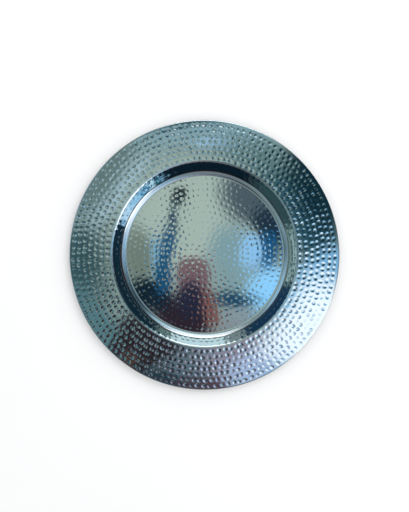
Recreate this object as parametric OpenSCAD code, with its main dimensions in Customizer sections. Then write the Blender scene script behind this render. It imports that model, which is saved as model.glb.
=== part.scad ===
// Hammered offering plate: one pressed metal sheet whose edge is rolled round a wire, on a glued felt disc.
// Millimetres, +Z up. The origin is the centre of the felt's flat underside, on the plate's axis.

/* [Plate] */
// Diameter over the rolled edge
plate_d = 330; // [320:1:345]
// Thickness of the sheet
sheet_t = 0.8; // [0.6:0.1:1]
// Diameter where the lines of the rim and the wall meet
shoulder_d = 225; // [222:1:232]
// Diameter of the flat floor of the well
floor_d = 193; // [190:1:197]

/* [Bends] */
// Slope of the wall, in degrees
wall_angle = 47; // [40:1:52]
// Slope of the narrow ledge between the floor and the wall, in degrees
ledge_angle = 25; // [20:1:30]
// Width of the ledge's straight part, seen from above
ledge_w = 1.9; // [1:0.1:3]
// Bend radius of the cove, where the floor turns up into the ledge
cove_r = 8; // [5:0.5:9]
// Bend radius of the corner, where the ledge turns into the wall
corner_r = 7; // [3:0.5:8]
// Bend radius of the shoulder, where the wall turns into the rim
shoulder_r = 3.5; // [2.5:0.5:5]
// Slope that the arched rim droops to at its edge, in degrees
rim_droop = 6; // [3:1:8]

/* [Rolled edge] */
// Diameter of the wire inside the rolled edge
wire_d = 2.4; // [2:0.2:3]
// Turn of the sheet round the wire, in degrees
curl_turn = 300; // [270:5:300]

/* [Felt] */
// Diameter of the felt disc
felt_d = 186; // [160:1:188]
// Thickness of the felt
felt_t = 1.6; // [1:0.1:3]
// Thickness of the adhesive film that holds the felt
adhesive_t = 0.2; // [0.1:0.05:0.3]
// Width of the adhesive film's margin inside the felt's edge
adhesive_margin = 1.5; // [0.5:0.5:3]

/* [Hidden] */
$fn = 180;

// Gap between the wire and the sheet rolled round it.
wire_gap = 0.05;
// Width and height of the small bevel at the felt's cut edge.
felt_bevel = 0.3;

// Points along each bend of the mid-line.
cove_steps = 6;
corner_steps = 8;
shoulder_steps = 12;
rim_steps = 12;
curl_steps = 40;

// Height of the sheet's mid-line at the floor of the well.
floor_z = felt_t + adhesive_t + sheet_t / 2;
// Bend radius of the rolled edge's mid-line, and the radius at which its centre stands from the axis.
curl_r = wire_d / 2 + wire_gap + sheet_t / 2;
curl_centre_r = plate_d / 2 - curl_r - sheet_t / 2;
// From the corner of two straight lines to where the shoulder's bend starts.
shoulder_tangent = shoulder_r * tan(wall_angle / 2);

// The mid-line of the sheet runs outward from the axis. Each of its points is [radius, height, heading],
// where the heading is the line's slope in degrees, positive where it climbs.

function last(line) = line[len(line) - 1];

// The end of a straight run from point p out to radius r.
function straight(p, r) = [r, p.y + (r - p.x) * tan(p.z), p.z];

// A bend from point p, turning from heading a to heading b at bend radius r, in a number of steps.
function bend(p, a, b, r, steps) =
    let (side = sign(b - a))
    [for (i = [1:steps])
        let (h = a + (b - a) * i / steps)
        [p.x + side * r * (sin(h) - sin(a)), p.y + side * r * (cos(a) - cos(h)), h]];

// The points of a line moved sideways, by d towards the top of the sheet.
function moved(line, d) = [for (p = line) [p.x - d * sin(p.z), p.y + d * cos(p.z)]];

function reversed(line) = [for (i = [len(line) - 1:-1:0]) line[i]];

floor_edge = [floor_d / 2, floor_z, 0];
cove = bend(floor_edge, 0, ledge_angle, cove_r, cove_steps);
ledge_end = straight(last(cove), last(cove).x + ledge_w);
corner = bend(ledge_end, ledge_angle, wall_angle, corner_r, corner_steps);
wall_top = straight(last(corner), shoulder_d / 2 - shoulder_tangent * cos(wall_angle));
shoulder = bend(wall_top, wall_angle, 0, shoulder_r, shoulder_steps);
rim_end_r = curl_centre_r + curl_r * sin(rim_droop);
rim_r = (rim_end_r - last(shoulder).x) / sin(rim_droop);
rim = bend(last(shoulder), 0, -rim_droop, rim_r, rim_steps);
curl = bend(last(rim), -rim_droop, -rim_droop - curl_turn, curl_r, curl_steps);

mid_line = concat([[0, floor_z, 0], floor_edge], cove, [ledge_end], corner, [wall_top], shoulder, rim, curl);
curl_centre = [curl_centre_r, last(rim).y - curl_r * cos(rim_droop)];

// The pressed sheet: floor, cove, ledge, wall, shoulder, arched rim and rolled edge in one piece.
module hammered_sheet() {
    color("lightsteelblue")
        rotate_extrude()
            polygon(concat(moved(mid_line, sheet_t / 2), reversed(moved(mid_line, -sheet_t / 2))));
}

// The steel wire that stiffens the rolled edge.
module rim_wire() {
    color("dimgray")
        rotate_extrude()
            translate(curl_centre)
                circle(d = wire_d, $fn = 32);
}

// The felt disc that the plate stands on, with its cut edge bevelled.
module base_felt() {
    color("maroon") {
        cylinder(h = felt_bevel, d1 = felt_d - 2 * felt_bevel, d2 = felt_d);
        translate([0, 0, felt_bevel])
            cylinder(h = felt_t - felt_bevel, d = felt_d);
    }
}

// The film between the felt and the sheet.
module felt_adhesive() {
    color("ivory")
        translate([0, 0, felt_t])
            cylinder(h = adhesive_t, d = felt_d - 2 * adhesive_margin);
}

hammered_sheet();
rim_wire();
base_felt();
felt_adhesive();
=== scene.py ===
"""The looks of a hammered metal offering plate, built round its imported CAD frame.

Lengths are metres and angles radians, unless a comment says otherwise. The plate's axis is Z, and it
stands on z = 0.
"""

import math
from collections import namedtuple

import bpy
import numpy as np
from mathutils import Matrix, Vector, noise


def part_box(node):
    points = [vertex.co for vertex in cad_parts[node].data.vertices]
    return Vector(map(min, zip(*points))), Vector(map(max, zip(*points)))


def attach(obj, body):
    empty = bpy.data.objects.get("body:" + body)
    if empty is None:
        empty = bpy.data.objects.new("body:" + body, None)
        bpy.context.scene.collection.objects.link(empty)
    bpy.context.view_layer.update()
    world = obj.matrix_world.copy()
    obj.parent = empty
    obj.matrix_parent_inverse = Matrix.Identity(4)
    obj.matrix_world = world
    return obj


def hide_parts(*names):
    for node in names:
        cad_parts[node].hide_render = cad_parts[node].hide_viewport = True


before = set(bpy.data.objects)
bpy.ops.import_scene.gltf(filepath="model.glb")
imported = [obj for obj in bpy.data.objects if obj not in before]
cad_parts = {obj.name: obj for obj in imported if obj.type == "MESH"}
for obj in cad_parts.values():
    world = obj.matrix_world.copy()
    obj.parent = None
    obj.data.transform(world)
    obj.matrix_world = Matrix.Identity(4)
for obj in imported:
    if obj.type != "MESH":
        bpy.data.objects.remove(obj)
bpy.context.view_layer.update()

MM = 0.001
DEG = math.pi / 180
TURN = 2 * math.pi

# The sheet's section, as in the CAD model. What the frame gives is read from it.
SHEET_LOW, SHEET_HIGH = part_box("hammered_sheet")
WIRE_LOW, WIRE_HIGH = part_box("rim_wire")
FELT_LOW, FELT_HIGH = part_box("base_felt")
SHEET_T = 0.8 * MM
FLOOR_R = 96.5 * MM
SHOULDER_R = 112.5 * MM
LEDGE_ANGLE, LEDGE_WIDTH = 25 * DEG, 1.9 * MM
COVE_BEND = 8 * MM
WALL_ANGLE, CORNER_BEND = 47 * DEG, 7 * MM
SHOULDER_BEND = 3.5 * MM
RIM_DROOP = 6 * DEG
CURL_TURN = 300 * DEG
WIRE_GAP = 0.05 * MM
WIRE_R = (WIRE_HIGH.z - WIRE_LOW.z) / 2
CURL_BEND = WIRE_R + WIRE_GAP + SHEET_T / 2
CURL_CENTRE_R = SHEET_HIGH.x - CURL_BEND - SHEET_T / 2
FLOOR_Z = SHEET_LOW.z + SHEET_T / 2

# Hammer dents, in rings that are about as far apart as the dents in a ring. A pitch is the distance between
# dents in a ring or between rings, and a size is about half a dent's width.
RIM_DENT_PITCH = 7.3 * MM
RIM_ROW_PITCH = 6.9 * MM
RIM_FIRST_ROW_R = 117.4 * MM
RIM_ROWS = 7
RIM_DENT_SIZE = 3.1 * MM
RIM_DENT_DEPTH = 0.22 * MM
# A dent is as deep as (1 - d**2) to this power, where d is 0 in its middle and 1 at its edge.
DENT_POWER = 1.7
# The wall's rings of dents, from the shoulder down, and how deep each is as a share of a rim dent.
WALL_DENT_SHARES = (0.7, 0.5)
# The rings of rim dents lie this far off the plate's axis, towards this angle.
RIM_DRIFT, RIM_DRIFT_ANGLE = 1.2 * MM, -135 * DEG
WELL_ROW_PITCH = 6.9 * MM
WELL_FIRST_ROW_R = 94.0 * MM
WELL_ROWS = 14
WELL_DENT_PITCH = 6.9 * MM
WELL_DENT_SIZE = 2.4 * MM
WELL_DENT_DEPTH = 0.039 * MM
# How much of a dent's depth shows on the sheet's other side.
UNDER_MARK = 0.45
# The slow unevenness of the whole sheet, as waves: height, radians per metre along X and Y, and start.
WARP_WAVES = (
    (0.015 * MM, 71, 18, 0.4),
    (0.015 * MM, -34, 63, 2.1),
    (0.007 * MM, 24, -118, 4.0),
    (0.006 * MM, 131, 47, 5.2),
)

SEED = 41

# The felt disc: how far its cut edge bulges and frays, and how far its underside is raised into a nap.
FELT_BULGE = 0.45 * MM
FELT_FRAY, FRAY_SCALE = 0.12 * MM, 900
FELT_NAP, NAP_SCALE = 0.07 * MM, 420
FELT_EDGE_STEPS = 8
FELT_POINTS_ROUND = 420


# ---------------------------------------------------------------- the sheet's mid-line


def bend(line, heading, radius, steps=24):
    """Extends a line of (radius, height, heading) points by an arc that turns it to a new heading."""
    r0, z0, h0 = line[-1]
    side = 1 if heading > h0 else -1
    for i in range(1, steps + 1):
        h = h0 + (heading - h0) * i / steps
        r = r0 + side * radius * (math.sin(h) - math.sin(h0))
        z = z0 + side * radius * (math.cos(h0) - math.cos(h))
        line.append((r, z, h))


def run_to(line, radius):
    """Extends a line straight on to the given distance from the axis."""
    r0, z0, h0 = line[-1]
    line.append((radius, z0 + (radius - r0) * math.tan(h0), h0))


class MidLine:
    """The middle of the sheet's thickness by arc length, from the axis out and round the rolled edge."""

    def __init__(self):
        line = [(0.0, FLOOR_Z, 0.0)]
        ends = {}
        run_to(line, FLOOR_R)
        ends["floor"] = len(line) - 1
        bend(line, LEDGE_ANGLE, COVE_BEND)
        run_to(line, line[-1][0] + LEDGE_WIDTH)
        ends["ledge"] = len(line) - 1
        bend(line, WALL_ANGLE, CORNER_BEND)
        ends["corner"] = len(line) - 1
        tangent = SHOULDER_BEND * math.tan(WALL_ANGLE / 2)
        run_to(line, SHOULDER_R - tangent * math.cos(WALL_ANGLE))
        ends["wall"] = len(line) - 1
        bend(line, 0.0, SHOULDER_BEND)
        ends["shoulder"] = len(line) - 1
        rim_end_r = CURL_CENTRE_R + CURL_BEND * math.sin(RIM_DROOP)
        bend(line, -RIM_DROOP, (rim_end_r - line[-1][0]) / math.sin(RIM_DROOP))
        ends["rim"] = len(line) - 1
        bend(line, -RIM_DROOP - CURL_TURN, CURL_BEND, steps=60)
        ends["curl"] = len(line) - 1
        points = np.array(line)
        gaps = np.hypot(np.diff(points[:, 0]), np.diff(points[:, 1]))
        self.s = np.concatenate([[0.0], np.cumsum(gaps)])
        self.r, self.z, self.heading = points.T
        self.end = {name: self.s[i] for name, i in ends.items()}
        self.rim_r = self.r[: ends["rim"] + 1]

    def at(self, s):
        """Radius, height and heading at arc length s."""
        return [np.interp(s, self.s, values) for values in (self.r, self.z, self.heading)]

    def length_at(self, radius):
        """Arc length at which the line first reaches a radius, short of the rolled edge."""
        return float(np.interp(radius, self.rim_r, self.s[: len(self.rim_r)]))


# ---------------------------------------------------------------- hammer dents

# One ring of dents about the axis. Each is a shallow, tilted oval bowl with its own place, size and depth.
DentRow = namedtuple("DentRow", "s radius phase angle centre length width tilt depth")


def dent_row(rng, line, s, pitch, size, depth, drift=0.0):
    """A ring of dents about arc length s, each a little off its place, size, roundness and depth."""
    radius = float(line.at(s)[0])
    count = max(3, round(TURN * radius / pitch))
    phase = rng.uniform(0, TURN)
    angle = phase + (np.arange(count) + rng.uniform(-0.15, 0.15, count)) * TURN / count
    off_row = pitch * rng.uniform(-0.08, 0.08, count) + drift * np.cos(angle - RIM_DRIFT_ANGLE)
    return DentRow(
        s=s,
        radius=radius,
        phase=phase,
        angle=angle,
        centre=s + off_row,
        length=size * rng.uniform(0.88, 1.12, count),
        width=size * rng.uniform(0.76, 1.0, count),
        tilt=rng.uniform(0, math.pi, count),
        depth=depth * rng.uniform(0.5, 1.25, count),
    )


def hammered(rows, s, angle):
    """How far dents sink the surface at points round a ring, and how fast that grows out and round."""
    sink, slope_s, slope_t = np.zeros((3, len(angle)))
    for row in rows:
        if np.abs(s - row.centre).min() > row.length.max():
            continue
        count = len(row.angle)
        nearest = np.round((angle - row.phase) * count / TURN).astype(int)
        for step in (-1, 0, 1):
            k = (nearest + step) % count
            across = ((angle - row.angle[k] + math.pi) % TURN - math.pi) * row.radius
            along = s - row.centre[k]
            cos, sin = np.cos(row.tilt[k]), np.sin(row.tilt[k])
            u = (across * cos + along * sin) / row.length[k]
            v = (along * cos - across * sin) / row.width[k]
            inside = np.clip(1 - u**2 - v**2, 0, None)
            fall = -2 * DENT_POWER * row.depth[k] * inside ** (DENT_POWER - 1)
            sink += row.depth[k] * inside**DENT_POWER
            slope_t += fall * (u * cos / row.length[k] - v * sin / row.width[k])
            slope_s += fall * (u * sin / row.length[k] + v * cos / row.width[k])
    return sink, slope_s, slope_t


def hand_warp(x, y):
    """Height and slopes of the slow unevenness that hammering leaves in the whole sheet."""
    height, slope_x, slope_y = 0.0, 0.0, 0.0
    for size, kx, ky, start in WARP_WAVES:
        phase = kx * x + ky * y + start
        height = height + size * np.sin(phase)
        slope_x = slope_x + size * kx * np.cos(phase)
        slope_y = slope_y + size * ky * np.cos(phase)
    return height, slope_x, slope_y


# ---------------------------------------------------------------- the closed mesh of the sheet

# A ring of evenly spaced vertices at arc length s, on the top (side 1) or the underside (side -1).
Ring = namedtuple("Ring", "s count side")

# The number of vertices in a ring goes up in steps of this, so that most neighbours have the same number.
COUNT_STEP = 24


def rings(line, lengths, spacing, side=1):
    """Rings at the given arc lengths, with their vertices no further apart than spacing."""
    radii = [float(line.at(s)[0]) for s in lengths]
    counts = [COUNT_STEP * math.ceil(TURN * r / spacing / COUNT_STEP) for r in radii]
    return [Ring(s, count, side) for s, count in zip(lengths, counts)]


def steps(start, end, size):
    """Evenly spaced arc lengths from start up to but not at end, about size apart."""
    return np.linspace(start, end, max(1, round(abs(end - start) / size)), endpoint=False)


def ring_stretches(line, stretches, side=1):
    """Rings along stretches of the line, each with its start, its end and the spacing along and round."""
    made = []
    for start, end, along, around in stretches:
        made += rings(line, steps(start, end, along), around, side)
    return made


def ring_surface(ring, line, rows):
    """Positions, normals and depth in a dent, from 0 to 1, of a ring's vertices."""
    r, z, heading = line.at(ring.s)
    out = -math.sin(heading), math.cos(heading)
    along = math.cos(heading), math.sin(heading)
    angle = np.arange(ring.count) * TURN / ring.count
    sink, slope_s, slope_t = hammered(rows, ring.s, angle)
    mark = 1.0 if ring.side > 0 else UNDER_MARK
    off = ring.side * SHEET_T / 2 - mark * sink
    radius, height = r + out[0] * off, z + out[1] * off
    normal_r = ring.side * (out[0] + mark * slope_s * along[0])
    normal_z = ring.side * (out[1] + mark * slope_s * along[1])
    normal_t = ring.side * mark * slope_t
    cos, sin = np.cos(angle), np.sin(angle)
    x, y = radius * cos, radius * sin
    # The felt and its film are flat, so the sheet is too where it lies on them.
    free = 1.0 if ring.side > 0 else np.clip((radius - FLOOR_R) / (SHOULDER_R - FLOOR_R), 0, 1)
    lift, slope_x, slope_y = (free * v for v in hand_warp(x, y))
    nx = normal_r * cos - normal_t * sin - slope_x * normal_z
    ny = normal_r * sin + normal_t * cos - slope_y * normal_z
    normals = np.stack([nx, ny, normal_z], axis=1)
    normals /= np.linalg.norm(normals, axis=1)[:, None]
    return np.stack([x, y, height + lift], axis=1), normals, np.clip(sink / RIM_DENT_DEPTH, 0, 1)


def band(a, count_a, b, count_b):
    """Faces between two rings of vertices that start at a and b, by whose next vertex comes first."""
    if count_a == count_b:
        i = np.arange(count_a)
        j = (i + 1) % count_a
        return np.stack([a + i, b + i, b + j, a + j], axis=1).tolist()
    faces = []
    i = j = 0
    while i < count_a or j < count_b:
        if j == count_b or (i < count_a and (i + 1) * count_b <= (j + 1) * count_a):
            faces.append([a + i % count_a, b + j % count_b, a + (i + 1) % count_a])
            i += 1
        else:
            faces.append([a + i % count_a, b + j % count_b, b + (j + 1) % count_b])
            j += 1
    return faces


def closed_sheet(name, line, top, under, rows):
    """The closed sheet: top rings from the axis out round the curl, then under rings back to the axis."""
    all_rings = top + under
    surfaces = [ring_surface(ring, line, rows) for ring in all_rings]
    starts = np.concatenate([[0], np.cumsum([ring.count for ring in all_rings])]).tolist()
    faces, sharp = [], []
    for k in range(len(all_rings) - 1):
        faces.append(band(starts[k], all_rings[k].count, starts[k + 1], all_rings[k + 1].count))
        # The sheet's cut edge, at the end of the curl, is square.
        sharp.append(k == len(top) - 1)
    poles = []
    for side, k in ((1, 0), (-1, len(all_rings) - 1)):
        pole, first, count = starts[-1] + len(poles), starts[k], all_rings[k].count
        pairs = [[first + i, first + (i + 1) % count][::side] for i in range(count)]
        faces.append([[pole] + pair for pair in pairs])
        sharp.append(False)
        height = surfaces[k][0][:, 2].mean()
        poles.append((np.array([[0, 0, height]]), np.array([[0, 0, float(side)]]), np.zeros(1)))
    points, normals, dents = (np.concatenate(parts) for parts in zip(*surfaces, *poles))
    own = [flag for flag, part in zip(sharp, faces) for _ in part]
    return mesh_object(name, points, [face for part in faces for face in part], normals, own, dents)


def mesh_object(name, points, faces, normals=None, own=(), dents=None):
    """A mesh object in the scene. Normals are one per vertex, but faces flagged in own keep their own."""
    mesh = bpy.data.meshes.new(name)
    mesh.from_pydata(points.tolist(), [], faces)
    mesh.validate()
    mesh.update()
    mesh.polygons.foreach_set("use_smooth", [True] * len(mesh.polygons))
    if dents is not None:
        mask = mesh.attributes.new("dent", "FLOAT", "POINT")
        mask.data.foreach_set("value", dents.astype(np.float32))
    if normals is not None:
        corners = np.zeros(len(mesh.loops), np.int32)
        mesh.loops.foreach_get("vertex_index", corners)
        corner_normals = normals[corners]
        for k in np.flatnonzero(own):
            face = mesh.polygons[k]
            corner_normals[face.loop_start : face.loop_start + face.loop_total] = face.normal
        mesh.normals_split_custom_set(corner_normals.tolist())
    made = bpy.data.objects.new(name, mesh)
    bpy.context.scene.collection.objects.link(made)
    return made


def dent_rows(line):
    """Every ring of dents: the small ones of the well, and the large ones of the wall and the rim."""
    rng = np.random.default_rng(SEED)
    rows = []
    for k in range(WELL_ROWS):
        s = WELL_FIRST_ROW_R - k * WELL_ROW_PITCH
        rows.append(dent_row(rng, line, s, WELL_DENT_PITCH, WELL_DENT_SIZE, WELL_DENT_DEPTH))
    first_rim = line.length_at(RIM_FIRST_ROW_R)
    for k in range(-len(WALL_DENT_SHARES), RIM_ROWS):
        share = 1.0 if k >= 0 else WALL_DENT_SHARES[-1 - k]
        s = first_rim + k * RIM_ROW_PITCH
        drift = RIM_DRIFT if k >= 0 else 0.0
        rows.append(dent_row(rng, line, s, RIM_DENT_PITCH, RIM_DENT_SIZE, share * RIM_DENT_DEPTH, drift))
    return rows


def hammered_sheet():
    """The plate itself, with every dent modelled, and the softer mark of each dent on its underside."""
    line = MidLine()
    floor, ledge, corner, wall, shoulder, rim, curl = line.end.values()
    # The innermost ring, and where the floor's rings give way to the finer ones of the cove.
    first, cove = 1.5 * MM, floor - 2 * MM
    round_curl = 2.4 * MM
    top = ring_stretches(line, (
        (first, cove, 1.5 * MM, 1.5 * MM),
        (cove, ledge, 0.7 * MM, 1.3 * MM),
        (ledge, corner, 0.55 * MM, 1.3 * MM),
        (corner, rim, 0.93 * MM, 1.13 * MM),
        (rim, curl, 0.6 * MM, round_curl),
    ))
    top += rings(line, [curl], round_curl)
    under = ring_stretches(line, (
        (curl, rim, 1.1 * MM, 4 * MM),
        (rim, shoulder, 2 * MM, 2.3 * MM),
        (shoulder, wall, 0.7 * MM, 3 * MM),
        (wall, corner, 3 * MM, 3 * MM),
        (corner, ledge, 0.9 * MM, 3 * MM),
        (ledge, floor, 1.2 * MM, 3 * MM),
        (floor, first, 16 * MM, 6 * MM),
    ), side=-1)
    return closed_sheet("hammered_plate", line, top, under, dent_rows(line))


# ---------------------------------------------------------------- nodes


def add(tree, kind, inputs=None, **settings):
    """Adds a node. An input that is given a socket is linked to it, and any other is set."""
    made = tree.nodes.new(kind)
    for key, value in settings.items():
        setattr(made, key, value)
    for key, value in (inputs or {}).items():
        if isinstance(value, bpy.types.NodeSocket):
            tree.links.new(value, made.inputs[key])
        else:
            made.inputs[key].default_value = value
    return made


def calc(tree, operation, *values):
    """The output of a Math node."""
    return add(tree, "ShaderNodeMath", dict(enumerate(values)), operation=operation).outputs[0]


def calc_vector(tree, operation, *values):
    """The output of a Vector Math node."""
    made = add(tree, "ShaderNodeVectorMath", dict(enumerate(values)), operation=operation)
    return made.outputs["Value" if operation in ("LENGTH", "DOT_PRODUCT") else "Vector"]


def spread(tree, value, low, high, to_low, to_high, smooth=False):
    """A value carried from one range to another."""
    kind = "SMOOTHSTEP" if smooth else "LINEAR"
    inputs = {"Value": value, "From Min": low, "From Max": high, "To Min": to_low, "To Max": to_high}
    return add(tree, "ShaderNodeMapRange", inputs, interpolation_type=kind).outputs["Result"]


def within(tree, value, low, full, past, gone):
    """1 where a value is from full to past, fading to 0 at low and at gone."""
    rise = spread(tree, value, low, full, 0, 1, smooth=True)
    fall = spread(tree, value, past, gone, 1, 0, smooth=True)
    return calc(tree, "MULTIPLY", rise, fall)


def blend(tree, share, first, second):
    """Two colours mixed by share."""
    made = add(tree, "ShaderNodeMix", data_type="RGBA")
    for name, value in (("Factor_Float", share), ("A_Color", first), ("B_Color", second)):
        socket = next(s for s in made.inputs if s.identifier == name)
        if isinstance(value, bpy.types.NodeSocket):
            tree.links.new(value, socket)
        else:
            socket.default_value = value
    return next(s for s in made.outputs if s.identifier == "Result_Color")


def grain(tree, vector, scale, detail=3.0, roughness=0.5):
    """A noise pattern, from 0 to 1."""
    inputs = {"Vector": vector, "Scale": scale, "Detail": detail, "Roughness": roughness}
    return add(tree, "ShaderNodeTexNoise", inputs).outputs["Fac"]


def drawn_round(tree, radius, round_axis, per_metre, swirl, detail, roughness=0.5):
    """A noise pattern drawn out into rings about the axis, as turning on a lathe leaves it."""
    out = add(tree, "ShaderNodeCombineXYZ", {2: calc(tree, "MULTIPLY", radius, per_metre)}).outputs[0]
    around = calc_vector(tree, "MULTIPLY", round_axis, (swirl, swirl, 0))
    return grain(tree, calc_vector(tree, "ADD", around, out), 1, detail, roughness)


def bump(tree, height, distance, normal=None):
    """The normal of a surface raised by height."""
    inputs = {"Height": height, "Distance": distance, "Strength": 1.0}
    if normal is not None:
        inputs["Normal"] = normal
    return add(tree, "ShaderNodeBump", inputs).outputs["Normal"]


def new_material(name):
    """An empty material's tree, its main shader and its object coordinates."""
    material = bpy.data.materials.new(name)
    material.use_nodes = True
    tree = material.node_tree
    shader = tree.nodes["Principled BSDF"]
    return material, tree, shader, add(tree, "ShaderNodeTexCoord").outputs["Object"]


def linear(red, green, blue):
    """A colour given as it is seen on a screen, from 0 to 255, as the shader's linear numbers."""
    shares = [v / 255 for v in (red, green, blue)]
    return [v / 12.92 if v <= 0.04045 else ((v + 0.055) / 1.055) ** 2.4 for v in shares] + [1.0]


# ---------------------------------------------------------------- materials

SILVER = (0.63, 0.675, 0.69, 1.0)
DULL_SILVER = (0.52, 0.565, 0.585, 1.0)
TARNISH = (0.3, 0.19, 0.13, 1.0)
# The crease where the ledge turns into the wall, in which tarnish gathers.
CREASE_R = 103.4 * MM
# Radii between which the ledge is satin: where that starts, is full, starts to fade and is gone.
SATIN_R = [FLOOR_R + v * MM for v in (0, 1.5, 5, 7)]
# The same for the streaks that forming leaves round the wall.
STREAKS_R = (CREASE_R, CREASE_R + 1.5 * MM, SHOULDER_R - 2 * MM, SHOULDER_R)


def metal_material():
    """Polished, hammered sheet, duller in the dents, satin on the ledge and brown in the crease."""
    material, tree, shader, place_on = new_material("hammered_silver")
    dent = add(tree, "ShaderNodeAttribute", attribute_name="dent").outputs["Fac"]
    cloud = grain(tree, place_on, 22, detail=4)
    fine = grain(tree, place_on, 900, detail=2)
    level = calc_vector(tree, "MULTIPLY", place_on, (1, 1, 0))
    radius = calc_vector(tree, "LENGTH", level)
    round_axis = calc_vector(tree, "NORMALIZE", level)
    lathe = drawn_round(tree, radius, round_axis, 2600, 3, detail=3, roughness=0.7)
    streaks = drawn_round(tree, radius, round_axis, 700, 1.2, detail=0)
    wear = calc(tree, "MULTIPLY", dent, spread(tree, cloud, 0.35, 0.65, 0.2, 0.75))
    worn = blend(tree, wear, SILVER, DULL_SILVER)
    off_crease = calc(tree, "ABSOLUTE", calc(tree, "SUBTRACT", radius, CREASE_R))
    crease = spread(tree, off_crease, 0.2 * MM, 1.1 * MM, 1, 0, smooth=True)
    tarnish = calc(tree, "MULTIPLY", crease, spread(tree, cloud, 0.38, 0.62, 0.1, 0.85))
    tree.links.new(blend(tree, tarnish, worn, TARNISH), shader.inputs["Base Color"])
    shader.inputs["Metallic"].default_value = 1.0
    rough = calc(tree, "MULTIPLY", dent, 0.02)
    rough = calc(tree, "ADD", spread(tree, cloud, 0.3, 0.7, 0.035, 0.055), rough)
    satin = spread(tree, lathe, 0.35, 0.65, 0.1, 0.2)
    satin = calc(tree, "MULTIPLY", within(tree, radius, *SATIN_R), satin)
    tree.links.new(calc(tree, "ADD", rough, satin), shader.inputs["Roughness"])
    streaks = calc(tree, "MULTIPLY", streaks, within(tree, radius, *STREAKS_R))
    ripple = grain(tree, place_on, 210, detail=2)
    normal = bump(tree, ripple, 0.006 * MM)
    normal = bump(tree, streaks, 0.1 * MM, normal=normal)
    normal = bump(tree, lathe, 0.0003 * MM, normal=normal)
    tree.links.new(bump(tree, fine, 0.0004 * MM, normal=normal), shader.inputs["Normal"])
    return material


def wire_material():
    """Drawn steel wire, dull grey with fine lengthwise marks."""
    material, tree, shader, place_on = new_material("drawn_wire")
    marks = grain(tree, calc_vector(tree, "MULTIPLY", place_on, (300, 300, 6000)), 1, detail=3)
    share = spread(tree, marks, 0.35, 0.65, 0, 1)
    shade = blend(tree, share, (0.33, 0.33, 0.34, 1), (0.5, 0.5, 0.51, 1))
    tree.links.new(shade, shader.inputs["Base Color"])
    shader.inputs["Metallic"].default_value = 1.0
    tree.links.new(spread(tree, marks, 0.3, 0.7, 0.28, 0.42), shader.inputs["Roughness"])
    tree.links.new(bump(tree, marks, 0.01 * MM), shader.inputs["Normal"])
    return material


def felt_material():
    """Pressed wool felt: matted fibres in slightly different reds, with a soft sheen."""
    material, tree, shader, place_on = new_material("wool_felt")
    inputs = {"Vector": place_on, "Scale": 420, "Detail": 2}
    curl = add(tree, "ShaderNodeTexNoise", inputs).outputs["Color"]
    curl = calc_vector(tree, "MULTIPLY", curl, (0.0035, 0.0035, 0.0035))
    fibre = grain(tree, calc_vector(tree, "ADD", place_on, curl), 1300, detail=4, roughness=0.8)
    mat = grain(tree, place_on, 190, detail=5, roughness=0.75)
    patch = grain(tree, place_on, 28, detail=3)
    dark_red, bright_red = (0.045, 0.003, 0.007, 1), (0.25, 0.026, 0.042, 1)
    shade = blend(tree, spread(tree, fibre, 0.36, 0.64, 0, 1), dark_red, bright_red)
    shade = blend(tree, spread(tree, mat, 0.36, 0.64, 0, 0.55), shade, (0.07, 0.005, 0.011, 1))
    shade = blend(tree, spread(tree, patch, 0.35, 0.65, 0, 0.35), shade, (0.13, 0.012, 0.022, 1))
    tree.links.new(shade, shader.inputs["Base Color"])
    tree.links.new(spread(tree, mat, 0.3, 0.7, 0.88, 1.0), shader.inputs["Roughness"])
    shader.inputs["Sheen Weight"].default_value = 0.12
    shader.inputs["Sheen Roughness"].default_value = 0.5
    shader.inputs["Sheen Tint"].default_value = (0.8, 0.4, 0.42, 1)
    shader.inputs["Specular IOR Level"].default_value = 0.2
    normal = bump(tree, mat, 0.3 * MM)
    tree.links.new(bump(tree, fibre, 0.12 * MM, normal=normal), shader.inputs["Normal"])
    return material


def adhesive_material():
    """A film of set contact adhesive, amber and slightly glossy."""
    material, tree, shader, place_on = new_material("set_adhesive")
    blobs = grain(tree, place_on, 500, detail=3)
    shade = blend(tree, blobs, (0.5, 0.39, 0.2, 1), (0.68, 0.58, 0.38, 1))
    tree.links.new(shade, shader.inputs["Base Color"])
    tree.links.new(spread(tree, blobs, 0.3, 0.7, 0.3, 0.5), shader.inputs["Roughness"])
    tree.links.new(bump(tree, blobs, 0.03 * MM), shader.inputs["Normal"])
    return material


def floor_material():
    """A plain pale tabletop."""
    material, tree, shader, place_on = new_material("pale_floor")
    tone = grain(tree, place_on, 3, detail=2)
    shade = blend(tree, tone, (0.84, 0.845, 0.85, 1), (0.86, 0.865, 0.87, 1))
    tree.links.new(shade, shader.inputs["Base Color"])
    shader.inputs["Roughness"].default_value = 0.9
    shader.inputs["Specular IOR Level"].default_value = 0.1
    return material


# ---------------------------------------------------------------- felt


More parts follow.
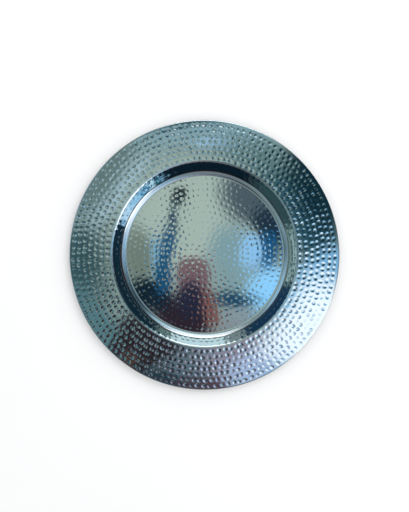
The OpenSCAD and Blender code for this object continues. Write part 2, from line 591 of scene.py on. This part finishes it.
def felt_disc():
    """The felt disc, with a cut edge that bulges between its pressed faces, and a napped underside."""
    radius, thickness = FELT_HIGH.x, FELT_HIGH.z - FELT_LOW.z
    section = [(radius * share, 0.0) for share in np.linspace(0.08, 0.94, 26)]
    for i in range(FELT_EDGE_STEPS + 1):
        turn = math.pi * (i / FELT_EDGE_STEPS - 0.5)
        bulge = FELT_BULGE * math.cos(turn)
        section.append((radius - FELT_BULGE + bulge, thickness / 2 * (1 + math.sin(turn))))
    section += [(radius * share, thickness) for share in np.linspace(0.97, 0.1, 4)]
    count = FELT_POINTS_ROUND
    angles = np.arange(count) * TURN / count
    points = []
    for r, z in section:
        for angle in angles:
            x, y = r * math.cos(angle), r * math.sin(angle)
            nap = 0.5 + 0.5 * noise.noise(Vector((x, y, z)) * NAP_SCALE)
            fray = 0.5 + 0.5 * noise.noise(Vector((x, y, z)) * FRAY_SCALE)
            inward = 1 - FELT_FRAY * fray / radius
            up = FELT_NAP * nap if z < thickness / 2 else 0.0
            points.append((x * inward, y * inward, FELT_LOW.z + min(z + up, thickness)))
    faces = []
    for k in range(len(section) - 1):
        a, b = k * count, (k + 1) * count
        faces += [[a + i, a + (i + 1) % count, b + (i + 1) % count, b + i] for i in range(count)]
    total = len(points)
    points.append((0.0, 0.0, FELT_LOW.z))
    points.append((0.0, 0.0, FELT_HIGH.z))
    last = (len(section) - 1) * count
    for i in range(count):
        faces.append([total, (i + 1) % count, i])
        faces.append([total + 1, last + i, last + (i + 1) % count])
    return mesh_object("felt_disc", np.array(points), faces)


# ---------------------------------------------------------------- studio

# What the metal mirrors: soft cards and lamps round the plate, placed by how far each leans from straight
# up. lean is (to the right, to the back) and half is the half width and height, both in radians of lean.
# turn is in degrees, anticlockwise, and soft is how far the edge blurs, as a share of the size. seen is the
# colour as it shows in the metal, from 0 to 255, and more for a lamp. A panel is square with round corners,
# and a glow is round. A later card is in front of an earlier one.
Card = namedtuple("Card", "kind lean half turn soft seen")

SURROUND = (110, 130, 134)
# How far the cards' outlines wander, in radians of lean, and how finely.
WANDER, WANDER_SCALE = 0.03, 14
CARDS = (
    # The far walls, which the plate's steep wall mirrors.
    Card("panel", (-1.45, 0.1), (0.25, 0.6), 0, 0.6, (80, 106, 104)),
    Card("panel", (-1.39, 0.0), (0.03, 0.6), 0, 0.6, (140, 170, 176)),
    Card("panel", (-1.2, -0.85), (0.5, 0.45), 0, 0.6, (44, 70, 76)),
    Card("panel", (-1.0, 1.0), (0.5, 0.36), 36, 0.6, (20, 50, 76)),
    Card("panel", (1.25, 0.6), (0.6, 0.76), 0, 0.6, (14, 38, 50)),
    Card("panel", (0.64, 1.28), (0.12, 0.16), -30, 0.6, (84, 110, 110)),
    Card("panel", (0.0, -1.25), (0.8, 0.5), 0, 0.6, (8, 26, 38)),
    Card("panel", (0.14, 1.42), (0.42, 0.34), 0, 0.6, (184, 214, 222)),
    Card("panel", (1.18, -0.925), (0.17, 0.58), -38, 0.5, (112, 168, 204)),
    Card("glow", (1.34, -0.62), (0.14, 0.12), 0, 0.8, (176, 214, 240)),
    Card("glow", (1.2, -0.84), (0.12, 0.06), 0, 0.8, (150, 200, 232)),
    Card("glow", (1.05, -1.02), (0.1, 0.05), 0, 0.8, (52, 108, 142)),
    Card("glow", (0.94, -1.12), (0.1, 0.06), 0, 0.8, (170, 214, 232)),
    Card("glow", (0.86, -1.2), (0.12, 0.05), -38, 0.8, (26, 84, 104)),
    Card("panel", (1.4, -0.2), (0.34, 0.22), 0, 0.6, (16, 40, 54)),
    # The belt that the ledge between the floor and the wall mirrors.
    Card("glow", (-0.72, 0.0), (0.13, 0.3), 0, 0.7, (112, 148, 168)),
    Card("glow", (-0.62, 0.38), (0.14, 0.26), 32, 0.7, (142, 192, 226)),
    Card("glow", (-0.1, -0.72), (0.5, 0.12), 0, 0.7, (104, 122, 128)),
    Card("glow", (0.74, 0.04), (0.12, 0.16), 0, 0.7, (104, 146, 178)),
    Card("glow", (0.64, 0.36), (0.12, 0.16), -30, 0.7, (62, 92, 106)),
    Card("glow", (0.96, 0.05), (0.09, 0.3), 0, 0.8, (126, 98, 70)),
    Card("glow", (0.0, -0.96), (0.42, 0.08), 0, 0.8, (92, 68, 66)),
    Card("panel", (0.4, 0.66), (0.16, 0.1), -34, 0.6, (146, 192, 220)),
    Card("panel", (0.02, 0.8), (0.3, 0.16), -3, 0.5, (246, 258, 264)),
    Card("panel", (0.14, 1.04), (0.42, 0.06), -4, 0.5, (400, 410, 415)),
    # The rim's surroundings, from the back round by the left.
    Card("glow", (0.0, 0.22), (0.5, 0.36), 0, 0.7, (130, 152, 148)),
    Card("glow", (0.02, 0.48), (0.26, 0.12), 0, 0.7, (126, 160, 170)),
    Card("glow", (0.06, 0.36), (0.06, 0.04), 0, 0.8, (148, 186, 214)),
    Card("glow", (0.12, 0.63), (0.26, 0.05), 0, 0.8, (200, 230, 242)),
    Card("glow", (-0.14, 0.55), (0.22, 0.07), 0, 0.8, (50, 80, 88)),
    Card("glow", (-0.25, 0.23), (0.13, 0.08), 40, 0.9, (160, 190, 204)),
    Card("glow", (-0.36, 0.32), (0.14, 0.14), 0, 0.8, (94, 118, 118)),
    Card("glow", (-0.46, 0.0), (0.24, 0.12), 5, 0.7, (52, 80, 86)),
    Card("glow", (-0.36, -0.24), (0.2, 0.13), -35, 0.7, (80, 118, 126)),
    Card("glow", (-0.12, -0.45), (0.2, 0.12), 0, 0.7, (34, 56, 68)),
    Card("glow", (-0.03, -0.25), (0.09, 0.12), 0, 0.8, (86, 106, 118)),
    Card("glow", (0.03, -0.45), (0.1, 0.08), 0, 0.8, (74, 62, 72)),
    Card("panel", (-0.185, -0.25), (0.075, 0.18), -40, 0.6, (38, 35, 42)),
    Card("panel", (-0.25, -0.33), (0.03, 0.07), -42, 0.8, (74, 56, 52)),
    Card("glow", (0.12, -0.27), (0.09, 0.14), 15, 0.8, (134, 132, 150)),
    Card("glow", (0.2, -0.34), (0.1, 0.12), 0, 0.8, (158, 182, 216)),
    Card("glow", (0.2, 0.26), (0.14, 0.16), 0, 0.9, (90, 120, 122)),
    Card("glow", (0.32, 0.15), (0.18, 0.12), 0, 0.7, (42, 80, 94)),
    Card("glow", (0.47, 0.34), (0.15, 0.25), -35, 0.7, (14, 42, 54)),
    Card("glow", (0.4, -0.05), (0.22, 0.09), 10, 0.8, (116, 178, 222)),
    Card("glow", (0.62, -0.34), (0.3, 0.38), -28, 0.7, (116, 166, 202)),
    Card("glow", (0.72, -0.42), (0.16, 0.26), -30, 0.7, (258, 270, 280)),
    Card("panel", (0.88, -0.5), (0.05, 0.3), -30, 0.4, (400, 410, 415)),
    Card("glow", (0.4, -0.21), (0.2, 0.15), -26, 0.8, (240, 256, 266)),
    # What the well mirrors.
    Card("glow", (0.0, 0.12), (0.13, 0.12), 0, 0.8, (162, 182, 174)),
    Card("glow", (-0.12, 0.04), (0.035, 0.05), 0, 0.8, (108, 124, 116)),
    Card("glow", (0.115, 0.155), (0.06, 0.045), -40, 0.8, (74, 90, 100)),
    Card("glow", (0.165, 0.1), (0.03, 0.045), 30, 0.8, (28, 48, 64)),
    Card("glow", (0.08, 0.03), (0.045, 0.065), 0, 0.9, (122, 155, 162)),
    Card("glow", (0.12, 0.045), (0.022, 0.03), 0, 0.8, (138, 194, 238)),
    Card("panel", (0.153, 0.042), (0.014, 0.042), -6, 0.7, (14, 80, 124)),
    Card("glow", (0.16, -0.035), (0.04, 0.04), -40, 0.7, (140, 208, 255)),
    Card("glow", (0.085, -0.055), (0.045, 0.014), 0, 0.8, (18, 66, 96)),
    Card("glow", (0.09, -0.088), (0.028, 0.016), 0, 0.8, (130, 150, 158)),
    Card("glow", (-0.1, -0.045), (0.045, 0.034), -25, 0.6, (12, 32, 44)),
    Card("glow", (-0.06, -0.088), (0.02, 0.014), 0, 0.8, (66, 42, 54)),
    Card("glow", (-0.07, -0.06), (0.04, 0.024), -20, 0.7, (18, 36, 50)),
    Card("glow", (-0.078, 0.035), (0.011, 0.036), 0, 0.8, (120, 166, 190)),
    Card("panel", (-0.034, 0.158), (0.011, 0.022), -6, 0.4, (4, 24, 38)),
    Card("panel", (-0.04, 0.128), (0.007, 0.022), -10, 0.4, (70, 96, 104)),
    Card("panel", (-0.048, 0.096), (0.009, 0.024), -12, 0.4, (14, 60, 88)),
    Card("panel", (-0.059, 0.045), (0.013, 0.044), -6, 0.4, (14, 76, 114)),
    Card("panel", (-0.064, -0.012), (0.016, 0.036), 0, 0.4, (20, 76, 112)),
    Card("panel", (-0.002, -0.02), (0.032, 0.052), 0, 0.5, (112, 92, 98)),
    Card("glow", (-0.012, -0.094), (0.05, 0.04), 0, 0.6, (42, 34, 44)),
    Card("panel", (0.032, -0.075), (0.017, 0.036), 14, 0.6, (116, 82, 80)),
    Card("glow", (-0.006, -0.056), (0.024, 0.034), 0, 0.7, (34, 40, 60)),
)


def studio_world():
    """Plain pale light for the camera and for matt surfaces, and the cards in what the metal mirrors."""
    world = bpy.data.worlds.new("studio")
    bpy.context.scene.world = world
    world.use_nodes = True
    tree = world.node_tree
    tree.nodes.clear()
    way = add(tree, "ShaderNodeTexCoord").outputs["Generated"]
    level = calc_vector(tree, "MULTIPLY", way, (1, 1, 0))
    up = add(tree, "ShaderNodeSeparateXYZ", {0: way}).outputs[2]
    # Straight up, level is 0, and so is the lean.
    size = calc(tree, "MAXIMUM", calc_vector(tree, "LENGTH", level), 1e-4)
    lean = calc_vector(tree, "MULTIPLY", level, calc(tree, "DIVIDE", calc(tree, "ARCCOSINE", up), size))
    inputs = {"Vector": way, "Scale": WANDER_SCALE, "Detail": 2}
    wander = add(tree, "ShaderNodeTexNoise", inputs).outputs["Color"]
    wander = calc_vector(tree, "SUBTRACT", wander, (0.5, 0.5, 0.5))
    lean = calc_vector(tree, "ADD", lean, calc_vector(tree, "MULTIPLY", wander, (WANDER, WANDER, 0)))

    def shine(seen):
        """The colour of a card that shows as this one in the metal."""
        return [c / m for c, m in zip(linear(*seen), SILVER)]

    colour = shine(SURROUND)
    for card in CARDS:
        inputs = {
            "Vector": lean,
            "Location": (*card.lean, 0),
            "Rotation": (0, 0, card.turn * DEG),
            "Scale": (*card.half, 1),
        }
        on_card = add(tree, "ShaderNodeMapping", inputs, vector_type="TEXTURE").outputs[0]
        away = calc_vector(tree, "MULTIPLY", on_card, on_card)
        if card.kind == "panel":
            away = calc_vector(tree, "MULTIPLY", away, away)
        away = calc_vector(tree, "DOT_PRODUCT", away, (1, 1, 0))
        mask = spread(tree, away, 1 - card.soft, 1 + 1.5 * card.soft, 1, 0, smooth=True)
        colour = blend(tree, mask, colour, shine(card.seen))

    mirrored = add(tree, "ShaderNodeBackground", {"Color": colour, "Strength": 1.0}).outputs[0]
    plain = add(tree, "ShaderNodeBackground", {"Color": (1, 1, 1, 1), "Strength": 1.0}).outputs[0]
    glossy = add(tree, "ShaderNodeLightPath").outputs["Is Glossy Ray"]
    both = add(tree, "ShaderNodeMixShader", {0: glossy, 1: plain, 2: mirrored}).outputs[0]
    add(tree, "ShaderNodeOutputWorld", {"Surface": both})


def soft_lamp(name, place_at, aim, size, power):
    """A square softbox that lights matt surfaces and isn't mirrored in the metal."""
    lamp = bpy.data.lights.new(name, "AREA")
    lamp.shape = "SQUARE"
    lamp.size = size
    lamp.energy = power
    made = bpy.data.objects.new(name, lamp)
    made.location = place_at
    made.rotation_mode = "QUATERNION"
    made.rotation_quaternion = (Vector(aim) - Vector(place_at)).to_track_quat("-Z", "Y")
    made.visible_glossy = False
    bpy.context.scene.collection.objects.link(made)


def studio_floor():
    """The pale tabletop that the plate stands on."""
    count, radius = 96, 4.0
    angles = np.arange(count) * TURN / count
    rim = np.stack([radius * np.cos(angles), radius * np.sin(angles), np.zeros(count)], axis=1)
    floor = mesh_object("tabletop", rim, [list(range(count))])
    floor.data.materials.append(floor_material())


def set_camera():
    """Almost straight above the plate, a little to the front left, with +Y up in the picture."""
    eye = Vector((-13.5, -23, 590)) * MM
    aim = Vector((-0.9, -3.0, 12)) * MM
    back = (eye - aim).normalized()
    right = Vector((0, 1, 0)).cross(back).normalized()
    data = bpy.data.cameras.new("camera")
    data.sensor_width = 36
    data.lens = 33.43
    camera = bpy.data.objects.new("camera", data)
    camera.location = eye
    camera.rotation_mode = "QUATERNION"
    camera.rotation_quaternion = Matrix((right, back.cross(right), back)).transposed().to_quaternion()
    bpy.context.scene.collection.objects.link(camera)
    bpy.context.scene.camera = camera


# ---------------------------------------------------------------- the whole


def give(piece, node, material):
    """Dresses a piece that stands for a CAD node."""
    piece.data.materials.append(material)
    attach(piece, "root")
    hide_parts(node)


def dress(node, material):
    """Gives a CAD node that stays its material."""
    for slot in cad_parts[node].material_slots:
        slot.link = "OBJECT"
        slot.material = material


give(hammered_sheet(), "hammered_sheet", metal_material())
felt = felt_disc()
give(felt, "base_felt", felt_material())
dress("rim_wire", wire_material())
dress("felt_adhesive", adhesive_material())

studio_floor()
studio_world()
soft_lamp("key_softbox", (0.5, 0.45, 1.1), (0, 0, 0), 0.9, 5)
set_camera()
bpy.context.scene.view_settings.view_transform = "Standard"
